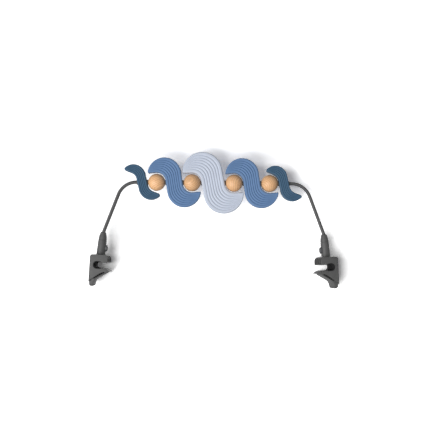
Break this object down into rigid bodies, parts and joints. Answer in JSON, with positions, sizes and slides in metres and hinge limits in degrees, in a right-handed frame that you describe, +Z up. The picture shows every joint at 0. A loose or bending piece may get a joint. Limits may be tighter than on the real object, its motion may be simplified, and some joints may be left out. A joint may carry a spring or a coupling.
{
  "type": "bouncer toy bar",
  "caption": "Bent metal toy arch for a baby bouncer, with grooved silicone waves and beech balls turning on the bar and a swivelling push-button frame clamp at each end.",
  "frame": {"origin": "under the middle of the whole part, level with the lowest points of the clamps' tails", "axes": "+X along the row of toys, +Y from the front to the back, +Z up, as the arch stands in use"},
  "size_m": [0.4618, 0.0452, 0.2509],
  "materials": {
    "bar_coating": "satin dark grey powder coat",
    "steel": "satin",
    "clamp_plastic": "fine matt texture",
    "silicone_dark": "matt, dusted",
    "hub_plastic": "smooth",
    "beech": "oiled",
    "silicone_blue": "matt, dusted",
    "silicone_pale": "matt, dusted",
    "grip_rubber": "matt",
    "button_plastic": "smooth matt"
  },
  "bodies": {
    "arch": {"bar": "bar_coating", "end_pin_left": "steel", "end_pin_right": "steel", "neck_cap_left": "clamp_plastic", "neck_cap_right": "clamp_plastic", "stop_collar_left": "bar_coating", "stop_collar_right": "bar_coating"},
    "wave_dark_left": {"wave_dark_left": "silicone_dark", "hub_dark_left": "hub_plastic"},
    "ball_outer_left": {"ball_outer_left": "beech"},
    "wave_blue_left": {"wave_blue_left": "silicone_blue", "hub_blue_left": "hub_plastic"},
    "ball_inner_left": {"ball_inner_left": "beech"},
    "wave_pale": {"wave_pale": "silicone_pale", "hub_pale": "hub_plastic"},
    "ball_inner_right": {"ball_inner_right": "beech"},
    "wave_blue_right": {"wave_blue_right": "silicone_blue", "hub_blue_right": "hub_plastic"},
    "ball_outer_right": {"ball_outer_right": "beech"},
    "wave_dark_right": {"wave_dark_right": "silicone_dark", "hub_dark_right": "hub_plastic"},
    "clamp_left": {"clamp_left": "clamp_plastic", "barrel_left": "clamp_plastic", "grip_pad_left": "grip_rubber", "button_spring_left": "steel"},
    "button_left": {"release_button_left": "button_plastic"},
    "clamp_right": {"clamp_right": "clamp_plastic", "barrel_right": "clamp_plastic", "grip_pad_right": "grip_rubber", "button_spring_right": "steel"},
    "button_right": {"release_button_right": "button_plastic"}
  },
  "joints": [
    {"name": "wave_dark_left_turn", "type": "hinge", "parent": "arch", "child": "wave_dark_left", "pos_m": [-0.13485, 0.00061, 0.19412], "axis": [1, 0, 0], "range_deg": [-55, 55]},
    {"name": "ball_outer_left_spin", "type": "hinge", "parent": "arch", "child": "ball_outer_left", "pos_m": [-0.10836, 0.00061, 0.19412], "axis": [1, 0, 0], "continuous": true},
    {"name": "wave_blue_left_turn", "type": "hinge", "parent": "arch", "child": "wave_blue_left", "pos_m": [-0.07536, 0.00061, 0.19412], "axis": [1, 0, 0], "range_deg": [-55, 55]},
    {"name": "ball_inner_left_spin", "type": "hinge", "parent": "arch", "child": "ball_inner_left", "pos_m": [-0.04236, 0.00061, 0.19412], "axis": [1, 0, 0], "continuous": true},
    {"name": "wave_pale_turn", "type": "hinge", "parent": "arch", "child": "wave_pale", "pos_m": [-0.00337, 0.00061, 0.19412], "axis": [1, 0, 0], "range_deg": [-55, 55]},
    {"name": "ball_inner_right_spin", "type": "hinge", "parent": "arch", "child": "ball_inner_right", "pos_m": [0.03562, 0.00061, 0.19412], "axis": [1, 0, 0], "continuous": true},
    {"name": "wave_blue_right_turn", "type": "hinge", "parent": "arch", "child": "wave_blue_right", "pos_m": [0.06862, 0.00061, 0.19412], "axis": [1, 0, 0], "range_deg": [-55, 55]},
    {"name": "ball_outer_right_spin", "type": "hinge", "parent": "arch", "child": "ball_outer_right", "pos_m": [0.10161, 0.00061, 0.19412], "axis": [1, 0, 0], "continuous": true},
    {"name": "wave_dark_right_turn", "type": "hinge", "parent": "arch", "child": "wave_dark_right", "pos_m": [0.12811, 0.00061, 0.19412], "axis": [1, 0, 0], "range_deg": [-55, 55]},
    {"name": "swivel_left", "type": "hinge", "parent": "arch", "child": "clamp_left", "pos_m": [-0.21074, 0.00061, 0.05865], "axis": [0.1045, 0, 0.9945], "continuous": true},
    {"name": "press_left", "type": "slide", "parent": "clamp_left", "child": "button_left", "axis": [-0.9932, 0.0523, 0.1044], "range_m": [0, 0.0018], "stiffness_N_per_m": 400, "springref_m": -0.003, "deforming": ["button_spring_left"]},
    {"name": "swivel_right", "type": "hinge", "parent": "arch", "child": "clamp_right", "pos_m": [0.20799, 0.00061, 0.05865], "axis": [-0.1045, 0, 0.9945], "continuous": true},
    {"name": "press_right", "type": "slide", "parent": "clamp_right", "child": "button_right", "axis": [0.9709, 0.2164, 0.1021], "range_m": [0, 0.0018], "stiffness_N_per_m": 400, "springref_m": -0.003, "deforming": ["button_spring_right"]}
  ]
}
